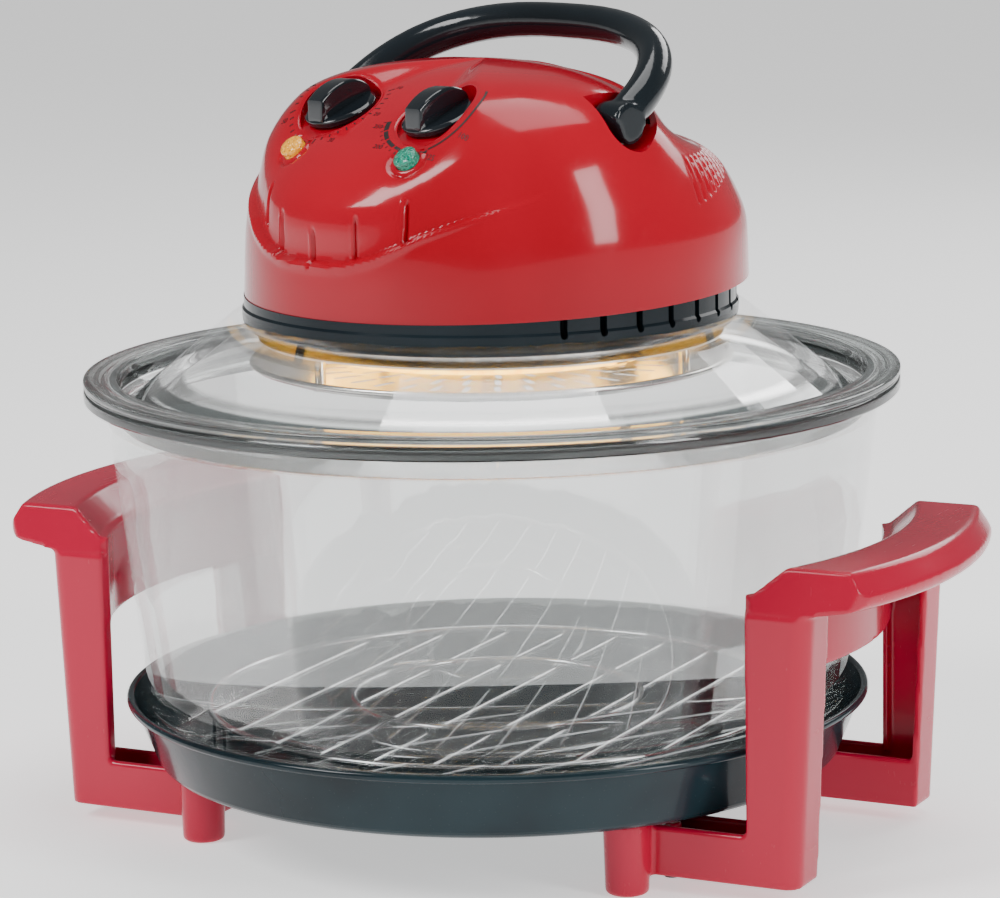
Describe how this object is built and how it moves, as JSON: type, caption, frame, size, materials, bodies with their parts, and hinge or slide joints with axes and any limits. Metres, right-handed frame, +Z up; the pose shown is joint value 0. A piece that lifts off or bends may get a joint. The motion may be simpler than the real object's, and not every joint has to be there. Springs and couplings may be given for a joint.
{
  "type": "halogen convection oven",
  "caption": "Tabletop halogen oven: glass bowl in an enamelled pan on a two-handled stand, with a glass lid that carries the heater, fan, controls and a folding handle.",
  "frame": {"origin": "on the floor, below the middle of the bowl", "axes": "+X towards the right handle frame, +Y towards the back, +Z up; the control head is turned 19 degrees from the stand"},
  "size_m": [0.403, 0.33, 0.3319],
  "materials": {
    "frame_red": "glossy moulded red",
    "cover_red": "glossy moulded red",
    "enamel_black": "glossy black enamel",
    "zinc_steel": "zinc plated",
    "black_steel": "blackened",
    "bowl_glass": "clear pressed glass",
    "lid_glass": "clear pressed glass",
    "rack_chrome": "bright chromed wire",
    "seal_rubber": "moulded rubber",
    "housing_black": "glossy black",
    "bright_aluminium": "bright pressed sheet",
    "bright_steel": "bright pressed sheet",
    "halogen_glow": "lit quartz tube",
    "ceramic_white": "unglazed ceramic",
    "core_steel": "laminated",
    "coil_copper": "wound enamelled wire",
    "bush_bronze": "sintered",
    "lens_amber": "clear amber moulding",
    "lens_green": "clear green moulding",
    "holder_white": "matte moulded",
    "switch_grey": "matte moulded",
    "handle_black": "glossy black",
    "knob_black": "glossy black",
    "fan_black": "matte moulded"
  },
  "bodies": {
    "stand": {"left_frame": "frame_red", "right_frame": "frame_red", "base_pan": "enamel_black", "pan_nuts": "zinc_steel", "frame_screws": "black_steel"},
    "bowl": {"glass_bowl": "bowl_glass"},
    "rack": {"low_rack": "rack_chrome"},
    "lid": {"glass_lid": "lid_glass", "seat_gasket": "seal_rubber", "clamp_gasket": "seal_rubber", "lower_housing": "housing_black", "head_cover": "cover_red", "cover_screws": "zinc_steel", "reflector": "bright_aluminium", "guard_posts": "bright_steel", "post_nuts": "zinc_steel", "guard_dish": "bright_steel", "guard_screws": "zinc_steel", "halogen_ring": "halogen_glow", "halogen_caps": "ceramic_white", "halogen_clips": "bright_steel", "heat_shield": "zinc_steel", "motor_bracket": "zinc_steel", "motor_stator": "core_steel", "motor_coil": "coil_copper", "motor_bushes": "bush_bronze", "control_bracket": "zinc_steel", "timer_body": "bright_aluminium", "thermostat_body": "ceramic_white", "power_lens": "lens_amber", "heat_lens": "lens_green", "lamp_holders": "holder_white", "terminal_block": "holder_white", "cord_gland": "seal_rubber", "thermal_fuse": "zinc_steel", "safety_switch": "switch_grey", "handle_brackets": "zinc_steel", "handle_pins": "zinc_steel"},
    "handle": {"carry_handle": "handle_black"},
    "timer_control": {"timer_knob": "knob_black", "timer_shaft": "bright_steel"},
    "thermostat_control": {"thermostat_knob": "knob_black", "thermostat_shaft": "bright_steel"},
    "fan_rotor": {"motor_shaft": "bright_steel", "motor_rotor": "core_steel", "cooling_fan": "fan_black", "convection_fan": "bright_aluminium", "fan_nut": "zinc_steel"},
    "switch_rod": {"switch_plunger": "holder_white"}
  },
  "joints": [
    {"name": "bowl_lift", "type": "slide", "parent": "stand", "child": "bowl", "axis": [0, 0, 1], "range_m": [0, 0.15]},
    {"name": "rack_lift", "type": "slide", "parent": "bowl", "child": "rack", "axis": [0, 0, 1], "range_m": [0, 0.12]},
    {"name": "lid_lift", "type": "slide", "parent": "bowl", "child": "lid", "axis": [0, 0, 1], "range_m": [0, 0.2]},
    {"name": "handle_tilt", "type": "hinge", "parent": "lid", "child": "handle", "pos_m": [-0.00195, -0.00567, 0.29174], "axis": [0.9455, -0.3256, 0], "range_deg": [0, 57]},
    {"name": "timer_turn", "type": "hinge", "parent": "lid", "child": "timer_control", "pos_m": [-0.04392, -0.04156, 0.29574], "axis": [-0.122, -0.3542, 0.9272], "range_deg": [-120, 180]},
    {"name": "thermostat_turn", "type": "hinge", "parent": "lid", "child": "thermostat_control", "pos_m": [0.00902, -0.0598, 0.29574], "axis": [-0.122, -0.3542, 0.9272], "range_deg": [-135, 135]},
    {"name": "fan_spin", "type": "hinge", "parent": "lid", "child": "fan_rotor", "pos_m": [0, 0, 0.20724], "axis": [0, 0, 1], "continuous": true},
    {"name": "switch_travel", "type": "slide", "parent": "lid", "child": "switch_rod", "axis": [0, 0, 1], "range_m": [0, 0.0031]}
  ],
  "couplings": [
    {"joint": "switch_travel", "follows": "handle_tilt", "m_per_rad": 0.0030156}
  ]
}
